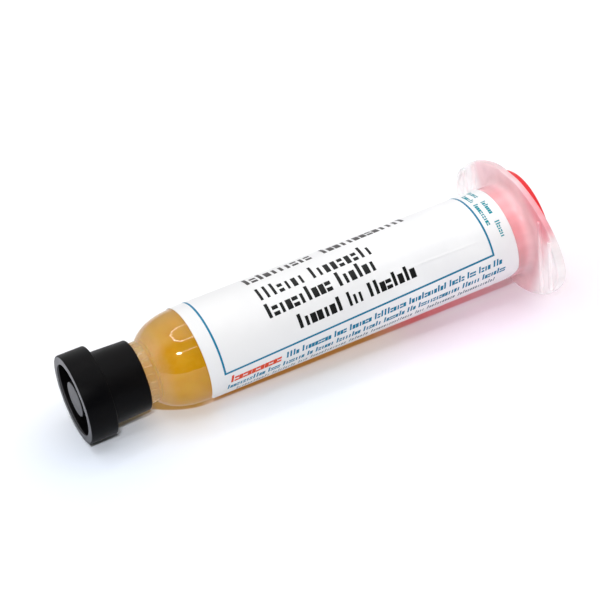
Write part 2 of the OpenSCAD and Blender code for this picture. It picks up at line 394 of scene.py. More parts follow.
class NodeBench(NodeMaker):
    """Builds the node tree of one material, in syringe millimetres."""

    def __init__(self, name: str, placement: Placement | None = None) -> None:
        """Starts a material with a Principled shader.

        Args:
            name: Name of the material.
            placement: Where the syringe lies, for patterns in its millimetres.
        """
        self.material = bpy.data.materials.new(name)
        self.material.use_nodes = True
        super().__init__(self.material.node_tree)
        self.shader = self.found("BSDF_PRINCIPLED")
        if placement:
            offset = placement.matrix().translation / MM
            coordinate = self.add("ShaderNodeTexCoord")
            mapping = self.add("ShaderNodeMapping", vector_type="POINT")
            mapping.inputs["Location"].default_value = -offset
            mapping.inputs["Scale"].default_value = (1 / MM,) * 3
            self.link(coordinate.outputs["Object"], mapping.inputs["Vector"])
            self.place = mapping.outputs["Vector"]
            split = self.add("ShaderNodeSeparateXYZ")
            self.link(self.place, split.inputs["Vector"])
            self.station, self.y, self.z = split.outputs

    def set(self, **values: object) -> None:
        """Sets plain values on the shader; an underscore in a name stands for a space."""
        for key, value in values.items():
            self.shader.inputs[key.replace("_", " ")].default_value = value

    def feed(self, **sources: Socket) -> None:
        """Links sockets to the shader; an underscore in a name stands for a space."""
        for key, source in sources.items():
            self.link(source, self.shader.inputs[key.replace("_", " ")])

    def noise(self, grain: Grain, stretch: Sequence[float] | None = None) -> Socket:
        """Adds noise over the place.

        Args:
            grain: Fineness of the noise.
            stretch: Factor for each direction of the place.

        Returns:
            The noise, from 0 to 1.
        """
        place = self.place
        if stretch:
            mapping = self.add("ShaderNodeMapping", vector_type="POINT")
            mapping.inputs["Scale"].default_value = stretch
            self.link(place, mapping.inputs["Vector"])
            place = mapping.outputs["Vector"]
        node = self.add("ShaderNodeTexNoise")
        node.inputs["Scale"].default_value = grain.scale
        node.inputs["Detail"].default_value = grain.layers
        node.inputs["Roughness"].default_value = grain.share
        self.link(place, node.inputs["Vector"])
        return node.outputs["Fac"]

    def mixed(self, share: Socket, first: Socket | Colour, second: Socket | Colour) -> Socket:
        """Mixes two colours by a share from 0 to 1.

        Args:
            share: Share of the second colour.
            first: Colour at share 0.
            second: Colour at share 1.

        Returns:
            The mixed colour.
        """
        node = self.add("ShaderNodeMix", data_type="RGBA")
        self.link(share, node.inputs["Factor"])
        sockets = [s for s in node.inputs if s.type == "RGBA"]
        for socket, value in zip(sockets, (first, second)):
            if isinstance(value, tuple):
                socket.default_value = (*value, 1.0)
            else:
                self.link(value, socket)
        return next(s for s in node.outputs if s.type == "RGBA")

    def bump(self, height: Socket, strength: float, depth: float) -> None:
        """Gives the shader a bump.

        Args:
            height: Height from 0 to 1.
            strength: Strength of the effect.
            depth: Depth in millimetres that a height of 1 stands for.
        """
        node = self.add("ShaderNodeBump")
        node.inputs["Strength"].default_value = strength
        node.inputs["Distance"].default_value = depth * MM
        self.link(height, node.inputs["Height"])
        self.link(node.outputs["Normal"], self.shader.inputs["Normal"])

    def lets_light_in(self, share: float) -> None:
        """Lets a share of the lamps' light straight through the surface, as clear plastic does.

        Args:
            share: Share of the light, from 0 to 1.
        """
        path = self.add("ShaderNodeLightPath")
        held = self.product(path.outputs["Is Shadow Ray"], share)
        self.feed(Alpha=self.math("SUBTRACT", 1.0, held))


@dataclass(frozen=True)
class Finish(ABC):
    """A look that is built as one material."""

    name: str

    @abstractmethod
    def mix(self, bench: NodeBench) -> None:
        """Sets up the shader on its bench."""

    def build(self, placement: Placement) -> Material:
        """Makes the material.

        Args:
            placement: Where the syringe lies.

        Returns:
            The material.
        """
        bench = NodeBench(self.name, placement)
        self.mix(bench)
        return bench.material


@dataclass(frozen=True)
class ClearPolypropylene(Finish):
    """Milky clear plastic, clearer where the flux wets its wall.

    Away from the flux it has the end cap's red light painted into it: a pink colour, strongest near the
    axis and in a deeper patch on the flange, and a painted glow in that colour.
    """

    name: str = "clear_polypropylene"
    wet: Colour = (0.97, 0.955, 0.93)
    painted_red_light: Colour = (0.85, 0.55, 0.585)
    rim: Colour = (0.99, 0.93, 0.945)
    hub: Colour = (0.99, 0.80, 0.49)
    painted_red_patch: Colour = (0.84, 0.40, 0.45)
    drying: Point = (44.0, 60.0)
    flange: Point = (66.5, 68.7)
    hub_end: Point = (-11.4, -6.5)
    wing: Point = (7.5, 12.8)
    wing_shift: float = 2.0
    wing_lean: float = 0.4
    flange_paleness: float = 0.24
    painted_patch_way: Point = (-0.66, 0.75)
    painted_patch_reach: Point = (11.0, 14.3)
    painted_patch_end: Point = (-16.5, -13.5)
    wet_clearness: float = 1.0
    dry_clearness: float = 0.62
    flange_clearness: float = 0.42
    hub_haze: float = 0.2
    cloudiness: float = 0.06
    painted_glow: Point = (0.072, 0.075)
    flow: Grain = Grain(0.16, 3.0, 0.55)
    flow_stretch: tuple[float, float, float] = (0.35, 1.0, 1.0)
    flow_bump: Point = (0.12, 0.06)
    scuffs: Grain = Grain(2.2, 3.0, 0.6)
    roughness: Point = (0.03, 0.08)
    dry_roughness: float = 0.16
    refraction: float = 1.49
    milk: float = 0.8
    milk_reach: Colour = (1.0, 0.8, 0.8)
    sink: float = 2.0
    light_share: float = 0.92

    def clearness(self, bench: NodeBench, cloud: Socket) -> Socket:
        """Gives the share of clear plastic against milky plastic.

        Args:
            bench: The material's bench.
            cloud: Change of the share from spot to spot.

        Returns:
            The share.
        """
        clear = bench.spread(bench.station, *self.drying, self.wet_clearness, self.dry_clearness)
        drop = self.flange_clearness - self.dry_clearness
        milky = bench.spread(bench.station, *self.flange, 0.0, drop)
        haze = bench.spread(bench.station, *self.hub_end, -self.hub_haze, 0.0)
        for change in (milky, haze, cloud):
            clear = bench.math("ADD", clear, change)
        return clear

    def tint(self, bench: NodeBench, dryness: Socket) -> Socket:
        """Gives the colour: amber at the hub, painted red light as pink behind the flux, pale on the
        wings, and a deeper painted red patch on the flange.

        How far out a spot is on a wing is measured from a line beside the axis that leans with
        the spot's height.

        Args:
            bench: The material's bench.
            dryness: How far the spot is from the flux, from 0 to 1.

        Returns:
            The colour.
        """
        out = bench.math("ABSOLUTE", bench.math("ADD", bench.y, self.wing_shift))
        out = bench.math("SUBTRACT", out, bench.product(bench.z, self.wing_lean))
        out = bench.spread(out, *self.wing)
        plate = bench.spread(bench.station, *self.flange, 0.0, self.flange_paleness)
        out = bench.math("MAXIMUM", out, plate)
        # Painted red light: away from the flux the shell turns pink, paler out on the wings.
        tint = bench.mixed(dryness, self.wet, bench.mixed(out, self.painted_red_light, self.rim))
        # Painted red light: a deeper pink patch on the flange beside the end cap.
        across, up = (bench.product(side, way) for side, way in zip((bench.y, bench.z), self.painted_patch_way))
        painted_patch_mask = bench.spread(bench.math("ADD", across, up), *self.painted_patch_reach)
        inner = bench.spread(bench.y, *self.painted_patch_end)
        on_flange = bench.spread(bench.station, *self.flange)
        tint = bench.mixed(bench.product(painted_patch_mask, inner, on_flange), tint, self.painted_red_patch)
        return bench.mixed(bench.spread(bench.station, *self.hub_end, 1.0, 0.0), tint, self.hub)

    def mix(self, bench: NodeBench) -> None:
        """Sets up the shader.

        Args:
            bench: The material's bench.
        """
        dryness = bench.spread(bench.station, *self.drying)
        flow = bench.noise(self.flow, self.flow_stretch)
        cloud = bench.spread(flow, *NOISE_RANGE, -self.cloudiness, self.cloudiness)
        tint = self.tint(bench, dryness)
        # Painted glow: away from the flux the shell emits its own colour.
        painted_glow = bench.spread(bench.station, *self.flange, *self.painted_glow)
        matt = bench.spread(bench.noise(self.scuffs), *NOISE_RANGE, *self.roughness)
        matt = bench.math("ADD", matt, bench.product(dryness, self.dry_roughness))
        bench.feed(Transmission_Weight=self.clearness(bench, bench.product(dryness, cloud)))
        bench.feed(Base_Color=tint, Emission_Color=tint, Emission_Strength=bench.product(dryness, painted_glow))
        bench.feed(Roughness=matt)
        bench.set(IOR=self.refraction, Subsurface_Weight=self.milk)
        bench.set(Subsurface_Radius=self.milk_reach, Subsurface_Scale=self.sink * MM)
        bench.bump(flow, *self.flow_bump)
        bench.lets_light_in(self.light_share)


@dataclass(frozen=True)
class AmberFlux(Finish):
    """Sticky amber paste that light sinks into, with a faint painted amber glow."""

    name: str = "amber_flux"
    light: Colour = (0.53, 0.305, 0.018)
    deep: Colour = (0.475, 0.25, 0.003)
    light_range: Point = (0.35, 0.65)
    swirl: Grain = Grain(0.14, 3.0, 0.5)
    swirl_share: float = 0.7
    grain: Grain = Grain(1.3, 3.0, 0.6)
    grain_bump: Point = (0.15, 0.05)
    roughness: Point = (0.3, 0.42)
    gloss: float = 0.02
    sink: float = 4.5
    sink_reach: Colour = (1.0, 0.5, 0.15)
    painted_glow_colour: Colour = (1.0, 0.5, 0.0)
    painted_glow_share: float = 0.2

    def mix(self, bench: NodeBench) -> None:
        """Sets up the shader.

        Args:
            bench: The material's bench.
        """
        swirl, grain = bench.noise(self.swirl), bench.noise(self.grain)
        swirls = bench.product(swirl, self.swirl_share)
        blend = bench.math("ADD", swirls, bench.product(grain, 1.0 - self.swirl_share))
        share = bench.spread(blend, *self.light_range)
        bench.feed(Base_Color=bench.mixed(share, self.deep, self.light))
        bench.feed(Roughness=bench.spread(grain, *NOISE_RANGE, *self.roughness))
        bench.set(Subsurface_Weight=1.0, Subsurface_Radius=self.sink_reach)
        bench.set(Subsurface_Scale=self.sink * MM, Specular_IOR_Level=self.gloss)
        # Painted glow: the flux emits a faint amber light.
        bench.set(Emission_Color=(*self.painted_glow_colour, 1.0), Emission_Strength=self.painted_glow_share)
        bench.bump(grain, *self.grain_bump)


@dataclass(frozen=True)
class MouldedPlastic(Finish):
    """Opaque moulded plastic with a fine skin.

    It may have painted light on the tip cap's front face, paler there and more so at its top, and the
    piston may glow with a painted emission inside the barrel.
    """

    colour: Colour
    worn: Colour
    roughness: Point
    gloss: float
    sink: float = 0.0
    sink_reach: Colour = (1.0, 0.3, 0.3)
    sink_share: float = 0.25
    flow: Grain = Grain(0.22, 4.0, 0.6)
    flow_stretch: tuple[float, float, float] = (0.5, 1.0, 1.0)
    worn_range: Point = (0.35, 0.75)
    skin: Grain = Grain(5.0, 3.0, 0.65)
    skin_bump: Point = (0.2, 0.02)
    painted_front_light: Colour | None = None
    painted_front_until: Point = (-24.45, -24.2)
    painted_front_within: Point = (8.35, 8.6)
    painted_front_height: Point = (-8.0, 8.0)
    painted_front_low: float = 0.55
    painted_glow: float = 0.0
    painted_glow_until: Point = (57.0, 58.0)

    def paint_front_light(self, bench: NodeBench, colour: Socket) -> Socket:
        """Paints light on the cap's front face as a paler colour, more at its top.

        Args:
            bench: The material's bench.
            colour: Colour of the rest.

        Returns:
            The colour of the whole.
        """
        front = bench.spread(bench.station, *self.painted_front_until, 1.0, 0.0)
        inside = bench.spread(bench.distance(bench.y, bench.z), *self.painted_front_within, 1.0, 0.0)
        upper = bench.spread(bench.z, *self.painted_front_height, self.painted_front_low, 1.0)
        return bench.mixed(bench.product(front, inside, upper), colour, self.painted_front_light)

    def mix(self, bench: NodeBench) -> None:
        """Sets up the shader.

        Args:
            bench: The material's bench.
        """
        flow = bench.noise(self.flow, self.flow_stretch)
        colour = bench.mixed(bench.spread(flow, *self.worn_range), self.colour, self.worn)
        # Painted light: a paler colour on the tip cap's front face.
        if self.painted_front_light:
            colour = self.paint_front_light(bench, colour)
        bench.feed(Base_Color=colour, Roughness=bench.spread(flow, *NOISE_RANGE, *self.roughness))
        bench.set(Specular_IOR_Level=self.gloss)
        # Painted glow: forward of station 57 the plastic emits its own colour; on the red plastic this is
        # the piston.
        if self.painted_glow:
            inside = bench.spread(bench.station, *self.painted_glow_until, self.painted_glow, 0.0)
            bench.feed(Emission_Color=colour, Emission_Strength=inside)
        if self.sink:
            bench.set(Subsurface_Weight=self.sink_share, Subsurface_Radius=self.sink_reach)
            bench.set(Subsurface_Scale=self.sink * MM)
        bench.bump(bench.noise(self.skin), *self.skin_bump)


RED_POLYETHYLENE = MouldedPlastic(
    "red_polyethylene",
    colour=(0.70, 0.010, 0.016),
    worn=(0.62, 0.008, 0.012),
    roughness=(0.31, 0.44),
    gloss=0.24,
    sink=1.2,
    # Painted red glow of the piston inside the barrel.
    painted_glow=0.35,
)
BLACK_POLYPROPYLENE = MouldedPlastic(
    "black_polypropylene",
    colour=(0.0015, 0.0015, 0.002),
    worn=(0.003, 0.0025, 0.0025),
    roughness=(0.35, 0.48),
    gloss=0.05,
    # Painted light on the tip cap's front face.
    painted_front_light=(0.22, 0.22, 0.235),
)


@dataclass(frozen=True)
class LabelFilm(Finish):
    """White satin film of the label, with painted shade that dims its front part, and one faint crease.

    The crease's turn round the axis is in degrees at station 0, and grows with the station.
    """

    name: str = "label_film"
    colour: Colour = (0.855, 0.855, 0.86)
    shade: Colour = (0.815, 0.815, 0.825)
    shade_range: Point = (0.35, 0.65)
    cloud: Grain = Grain(0.12, 3.0, 0.5)
    painted_shade: Colour = (0.74, 0.74, 0.745)
    painted_shade_share: float = 0.7
    painted_shade_until: Point = (24.0, 44.0)
    fibre: Grain = Grain(6.0, 2.0, 0.5)
    fibre_height: float = 0.01
    roughness: Point = (0.34, 0.42)
    crease_turn: float = 138.26
    crease_slope: float = 0.095
    crease_width: float = 2.6
    crease_start: Point = (40.0, 46.0)
    crease_end: Point = (54.0, 60.0)
    crease_bump: Point = (0.6, 0.14)

    def crease(self, bench: NodeBench) -> Socket:
        """Gives the crease's height, from 0 to 1.

        Args:
            bench: The material's bench.

        Returns:
            The height.
        """
        turn = bench.math("ARCTAN2", bench.z, bench.y)
        line = bench.product(bench.station, self.crease_slope * DEGREE)
        line = bench.math("ADD", line, self.crease_turn * DEGREE)
        away = bench.math("ABSOLUTE", bench.math("SUBTRACT", turn, line))
        return bench.product(
            bench.spread(away, 0.0, self.crease_width * DEGREE, 1.0, 0.0),
            bench.spread(bench.station, *self.crease_start),
            bench.spread(bench.station, *self.crease_end, 1.0, 0.0),
        )

    def mix(self, bench: NodeBench) -> None:
        """Sets up the shader.

        Args:
            bench: The material's bench.
        """
        share = bench.spread(bench.noise(self.cloud), *self.shade_range)
        fibre = bench.noise(self.fibre)
        # Painted shade: the label's front part, towards the tip cap, is darker.
        bright = bench.spread(bench.station, *self.painted_shade_until, 1.0 - self.painted_shade_share, 1.0)
        colour = bench.mixed(bright, self.painted_shade, bench.mixed(share, self.shade, self.colour))
        bench.feed(Base_Color=colour, Roughness=bench.spread(fibre, *NOISE_RANGE, *self.roughness))
        height = bench.math("ADD", self.crease(bench), bench.product(fibre, self.fibre_height))
        bench.bump(height, *self.crease_bump)


class Ink(Enum):
    """Inks of the label's print, as (red, green, blue)."""

    BLACK = (0.004, 0.004, 0.004)
    GREY = (0.05, 0.045, 0.045)
    BLUE = (0.0, 0.17, 0.31)
    TEAL = (0.0, 0.26, 0.32)
    RED = (0.66, 0.055, 0.012)
    SLATE = (0.10, 0.16, 0.22)


@dataclass(frozen=True)
class PrintInk(Finish):
    """Ink laid on the label in a film that is thinner in specks."""

    ink: Ink
    speck: Grain = Grain(7.0, 3.0, 0.6)
    thin_range: Point = (0.5, 0.8)
    thin_share: float = 0.9
    thin_gain: float = 0.015
    roughness: Point = (0.34, 0.46)
    gloss: float = 0.2

    def mix(self, bench: NodeBench) -> None:
        """Sets up the shader.

        Args:
            bench: The material's bench.
        """
        speck = bench.noise(self.speck)
        thin = tuple(self.thin_share * c + self.thin_gain for c in self.ink.value)
        share = bench.spread(speck, *self.thin_range)
        bench.feed(Base_Color=bench.mixed(share, self.ink.value, thin))
        bench.feed(Roughness=bench.spread(speck, *NOISE_RANGE, *self.roughness))
        bench.set(Specular_IOR_Level=self.gloss)


DARK: Colour = (0.0, 0.0, 0.0)
PLAIN: Colour = (1.0, 1.0, 1.0)


@dataclass(frozen=True)
class PaintedShadowBand:
    """Strip of the table under the syringe, with painted shadow in its tint and painted light in its glow.

    The strip's front edge lies at y = front + slope * station, and turns back under the dome.
    """

    start: Point
    end: Point
    front: float
    tint: Colour = PLAIN
    glow: Colour = DARK
    slope: float = 0.0364
    dome_bend: float = 0.055
    edge: float = 0.3
    back: Point = (5.0, 10.0)


@dataclass(frozen=True)
class Pool:
    """Round patch of the table with painted light and shade as a faint tint of its colour."""

    station: float
    y: float
    reach: float
    tint: Colour


@dataclass(frozen=True)
class TableTop(Finish):
    """Pale table that shows the object's shadow, with painted shadow and painted coloured light in strips
    and patches under and beside the syringe.
    """

    name: str = "table_top"
    colour: Colour = (0.86, 0.875, 0.91)
    roughness: float = 0.6
    gloss: float = 0.2
    far: Point = (50.0, 130.0)
    lift: Point = (0.06, 0.3)
    # Painted shadow and painted light: dark shade under the tip cap's rim and sleeve, the flux's amber and
    # the piston's red in the shadow under the barrel with a painted glow, and two painted light strips at
    # the shadow's front edge.
    bands: tuple[PaintedShadowBand, ...] = (
        PaintedShadowBand(
            (-24.5, -24.2),
            (-18.9, -18.5),
            front=-1.79,
            tint=(0.4, 0.4, 0.41),
            slope=0.09,
            dome_bend=0.0,
            edge=0.2,
            back=(-2.0, 0.0),
        ),
        PaintedShadowBand((-18.9, -18.5), (-10.9, -10.2), 1.47, tint=(0.72, 0.62, 0.46), slope=0.166, dome_bend=0.0),
        PaintedShadowBand((-12.0, -9.0), (-2.0, 3.0), -3.98, tint=(0.7, 0.46, 0.16), dome_bend=0.045),
        PaintedShadowBand((-2.0, 3.0), (33.0, 46.0), -3.98, tint=(0.9, 0.55, 0.22), glow=(0.07, 0.036, 0.012)),
        PaintedShadowBand((33.0, 46.0), (50.0, 78.0), -3.98, tint=(1.0, 0.6, 0.64), glow=(0.2, 0.015, 0.02)),
        PaintedShadowBand((-4.0, 4.0), (22.0, 38.0), -6.3, glow=(0.1, 0.1, 0.13), edge=1.8, back=(-4.2, -3.2)),
        PaintedShadowBand((22.0, 38.0), (60.0, 80.0), -6.3, glow=(0.12, 0.095, 0.125), edge=1.8, back=(-3.6, -2.4)),
    )
    # Painted patches: a bluish shade by the tip cap, a grey shade in front of the label and pink painted
    # light in front of the barrel's rear end.
    pools: tuple[Pool, ...] = (
        Pool(-28.0, -14.0, 36.0, (0.9, 0.96, 1.04)),
        Pool(15.0, -14.0, 24.0, (0.93, 0.95, 0.965)),
        Pool(56.0, -12.0, 34.0, (1.1, 0.98, 1.06)),
    )

    @staticmethod
    def cover(bench: NodeBench, band: PaintedShadowBand) -> Socket:
        """Gives how far a spot of the table lies in a band, from 0 to 1.

        Args:
            bench: The material's bench.
            band: The band.

        Returns:
            The share.
        """
        ahead = bench.math("MINIMUM", bench.station, 0.0)
        bend = bench.product(ahead, ahead, band.dome_bend)
        line = bench.math("SUBTRACT", bench.y, bench.product(bench.station, band.slope))
        line = bench.math("SUBTRACT", line, bend)
        return bench.product(
            bench.spread(line, band.front - band.edge, band.front + band.edge),
            bench.spread(bench.y, *band.back, 1.0, 0.0),
            bench.spread(bench.station, *band.start),
            bench.spread(bench.station, *band.end, 1.0, 0.0),
        )

    def tinted(self, tint: Colour) -> Colour:
        """Gives the table's colour under a tint."""
        return tuple(c * t for c, t in zip(self.colour, tint))

    def mix(self, bench: NodeBench) -> None:
        """Sets up the shader.

        Args:
            bench: The material's bench.
        """
        bench.set(Roughness=self.roughness, Specular_IOR_Level=self.gloss)
        lift = bench.spread(bench.distance(bench.y, bench.z), *self.far, *self.lift)
        grey = bench.add("ShaderNodeCombineXYZ")
        for socket in grey.inputs:
            bench.link(lift, socket)
        colour: Socket | Colour = self.colour
        glow = grey.outputs["Vector"]
        # Painted light and shade: pools and strips tint the colour, and strips add a glow.
        for pool in self.pools:
            along = bench.math("SUBTRACT", bench.station, pool.station)
            across = bench.math("SUBTRACT", bench.y, pool.y)
            cover = bench.spread(bench.distance(along, across), 0.0, pool.reach, 1.0, 0.0)
            colour = bench.mixed(cover, colour, self.tinted(pool.tint))
        for band in self.bands:
            cover = self.cover(bench, band)
            colour = bench.mixed(cover, colour, self.tinted(band.tint))
            glow = bench.mixed(cover, glow, band.glow)
        path = bench.add("ShaderNodeLightPath")
        seen = bench.math("MAXIMUM", path.outputs["Is Camera Ray"], path.outputs["Is Glossy Ray"])
        seen = bench.math("MAXIMUM", seen, path.outputs["Is Transmission Ray"])
        direct = bench.math("LESS_THAN", path.outputs["Diffuse Depth"], 0.5)
        bench.feed(Base_Color=colour, Emission_Color=glow, Emission_Strength=bench.product(seen, direct))


# Pieces of the syringe


@dataclass(frozen=True)
class EdgeRing:
    """One ring of the finger flange, given by how far it lies inside the outline."""

    inset: float
    station: float
    raised_station: float


@dataclass(frozen=True)
class FlangeOutline:
    """Outline of the finger flange: a full oval with flats at its crests."""

    wing: float = 19.1
    crest: float = 12.85
    power: float = 1.77
    flat: float = 12.6
    raised_from: float = 16.1
    raised_to: float = 16.9

    def reach(self, angle: float, inset: float = 0.0) -> float:
        """Gives the outline's distance from the axis.

        Args:
            angle: Angle about the axis, where 0 points along the wing.
            inset: Distance that the outline is moved inwards.

        Returns:
            The distance in millimetres.
        """
        across, up = abs(math.cos(angle)), abs(math.sin(angle))
        a, b = self.wing - inset, self.crest - inset
        plain = ((across / a) ** self.power + (up / b) ** self.power) ** (-1 / self.power)
        return min(plain, self.flat / up) if up > MERGE_DISTANCE else plain

    def half_height(self, y: float) -> float:
        """Gives half the outline's height at a distance y from its middle."""
        return self.crest * (1 - (abs(y) / self.wing) ** self.power) ** (1 / self.power)

    def rise(self, y: float) -> float:
        """Gives how far the raised edge has risen at y, from 0 to 1.

        Args:
            y: Distance from the flange's middle, along its wings.

        Returns:
            The share of its height.
        """
        t = (abs(y) - self.raised_from) / (self.raised_to - self.raised_from)
        t = max(0.0, min(1.0, t))
        return t * t * (3 - 2 * t)


@dataclass
class Barrel:
    """Clear barrel with its nozzle, locking collar and finger flange."""

    radius: float = 9.3
    bore: float = 7.95
    length: float = 70.1
    dome_depth: float = 11.7
    cavity_depth: float = 10.2
    dome_power: float = 2.53
    hub_radius: float = 6.0
    collar_radius: float = 5.2
    collar_bore: float = 4.05
    collar_end: float = -18.05
    nozzle_end: float = -19.9
    nozzle_radius: float = 1.98
    nozzle_root: float = 2.226
    outlet: float = 1.15
    plate: float = 1.2
    fillet: float = 1.2
    rib_height: float = 0.6
    rib_width: float = 0.8
    rib_places: tuple[float, float] = (12.3, 15.7)
    rib_rounding: float = 0.18
    edge_width: float = 0.9
    edge_slope: float = 0.15
    front_inset: float = 2.0
    back_inset: float = 1.2
    gussets: int = 24
    gusset_reach: float = 0.08
    gusset_width: float = 0.3
    gusset_rounding: float = 0.08
    gusset_tail: float = 0.25
    thread_starts: int = 2
    thread_pitch: float = 5.0
    thread_crest: float = 3.72
    thread_half: Point = (0.42, 0.16)
    thread_mouth: float = 0.5
    thread_turns: float = 0.72
    thread_steps: int = 64
    outline: FlangeOutline = FlangeOutline()
    placeholder: float = 40.0
    softening: float = 0.14
    sunk: float = 0.04

    @property
    def plate_front(self) -> float:
        """Station of the flange's front face."""
        return self.length - self.plate

    def edge_rings(self) -> list[EdgeRing]:
        """Lists the flange's rings from its front face to its back face.

        Returns:
            The rings, from the front face's middle out and over the edge.
        """
        front, top = self.plate_front, self.plate_front - self.rib_height
        return [
            EdgeRing(self.front_inset, front, front),
            EdgeRing(self.edge_width, front, front),
            EdgeRing(self.edge_width - self.edge_slope, front, top),
            EdgeRing(0.0, front, top),
            EdgeRing(0.0, self.length, self.length),
            EdgeRing(self.back_inset, self.length, self.length),
        ]

    def profile(self) -> list[Point]:
        """Lists the barrel's closed profile, with placeholder radii for the flange's rings.

        Returns:
            Points as (station, radius).
        """
        hub_face = -self.dome_depth
        outer = dome_points(self.radius, self.dome_depth, self.dome_power, self.hub_radius)
        inner = dome_points(self.bore, self.cavity_depth, self.dome_power, self.outlet)
        fillet_centre = (self.plate_front - self.fillet, self.radius + self.fillet)
        rings = [(ring.station, self.placeholder + i) for i, ring in enumerate(self.edge_rings())]
        return [
            (self.nozzle_end, self.outlet),
            (self.nozzle_end, self.nozzle_radius),
            (hub_face, self.nozzle_root),
            (hub_face, self.collar_bore),
            (self.collar_end, self.collar_bore),
            (self.collar_end, self.collar_radius),
            (hub_face, self.collar_radius),
            (hub_face, self.hub_radius),
            *reversed(outer),
            *corner_arc(fillet_centre, self.fillet, -90, 0, steps=6),
            *rings,
            (self.length, self.bore),
            *inner,
        ]

    def shape_flange(self, bm: Mesh) -> None:
        """Moves the placeholder rings onto the flange's outline.

        Args:
            bm: The barrel's mesh.
        """
        rings = self.edge_rings()
        for vert in bm.verts:
            off_axis = math.hypot(vert.co.y, vert.co.z)
            if off_axis < self.placeholder - 1:
                continue
            ring = rings[round(off_axis - self.placeholder)]
            angle = math.atan2(vert.co.z, vert.co.y)
            reach = self.outline.reach(angle, ring.inset)
            vert.co.y, vert.co.z = reach * math.cos(angle), reach * math.sin(angle)
            rise = self.outline.rise(vert.co.y)
            vert.co.x = ring.station + rise * (ring.raised_station - ring.station)

    def add_ribs(self, bm: Mesh) -> None:
        """Adds the finger ribs on the front of both wings.

        Args:
            bm: The barrel's mesh.
        """
        middle = self.plate_front - self.rib_height / 2 + self.sunk / 2
        for y in (side * place for side in (-1, 1) for place in self.rib_places):
            half = self.outline.half_height(abs(y) + self.rib_width / 2) - self.edge_width / 2
            size = Vector((self.rib_height + self.sunk, self.rib_width, 2 * half))
            add_block(bm, Vector((middle, y, 0.0)), size, self.rib_rounding)

    def add_gussets(self, bm: Mesh) -> None:
        """Adds the short gussets round the hub.

        Args:
            bm: The barrel's mesh.
        """
        share = (1 - (self.hub_radius / self.radius) ** self.dome_power) ** (1 / self.dome_power)
        length = self.dome_depth * (1 - share) + self.gusset_tail
        middle = length / 2 - self.dome_depth
        centre = Vector((middle, 0.0, self.hub_radius + (self.gusset_reach - self.sunk) / 2))
        size = Vector((length, self.gusset_width, self.gusset_reach + self.sunk))
        for i in range(self.gussets):
            add_block(bm, centre, size, self.gusset_rounding, turn=360 * i / self.gussets)

    def add_thread(self, bm: Mesh) -> None:
        """Adds the two-start thread inside the locking collar.

        Args:
            bm: The barrel's mesh.
        """
        root, crest = self.collar_bore + self.sunk, self.thread_crest
        wide, narrow = self.thread_half
        first, steps = self.collar_end + self.thread_mouth, self.thread_steps
        section = [(-wide, root), (-narrow, crest), (narrow, crest), (wide, root)]
        for start in range(self.thread_starts):
            verts = [bm.verts.new((first + s, r, 0.0)) for s, r in section]
            face = bm.faces.new(verts)
            turn = Matrix.Rotation(FULL_TURN * start / self.thread_starts, 4, "X")
            bmesh.ops.transform(bm, matrix=turn, verts=verts)
            made = bmesh.ops.spin(
                bm,
                geom=[face],
                cent=CENTRE,
                axis=AXIS,
                dvec=(self.thread_pitch * self.thread_turns / steps, 0.0, 0.0),
                angle=FULL_TURN * self.thread_turns,
                steps=steps,
            )
            ends = {v for g in made["geom_last"] if isinstance(g, Face) for v in g.verts}
            face_outwards(bm, self.island_of([*verts, *ends]))

    @staticmethod
    def island_of(verts: Iterable[bmesh.types.BMVert]) -> list[Face]:
        """Lists the faces that hang together with some vertices.

        Args:
            verts: Vertices to start from.

        Returns:
            Every face that can be reached from them.
        """
        seen, waiting = set(), list(verts)
        faces: set[Face] = set()
        while waiting:
            vert = waiting.pop()
            if vert in seen:
                continue
            seen.add(vert)
            for face in vert.link_faces:
                faces.add(face)
                waiting.extend(v for v in face.verts if v not in seen)
        return list(faces)

    def mesh(self) -> Mesh:
        """Models the barrel.

        Returns:
            The mesh, in syringe millimetres.
        """
        bm = lathe(self.profile(), closed=True)
        self.shape_flange(bm)
        face_outwards(bm, bm.faces[:])
        soften(bm, self.softening)
        self.add_ribs(bm)
        self.add_gussets(bm)
        self.add_thread(bm)
        return bm

    def dress(self, placement: Placement, finish: Material) -> SceneObject:
        """Places the barrel in its finish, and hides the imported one.

        Args:
            placement: Where the syringe lies.
            finish: The clear plastic.

        Returns:
            The barrel.
        """
        piece = make_piece(self.mesh(), "barrel_shell", placement, [finish])
        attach(piece, "barrel")
        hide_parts("barrel")
        return piece


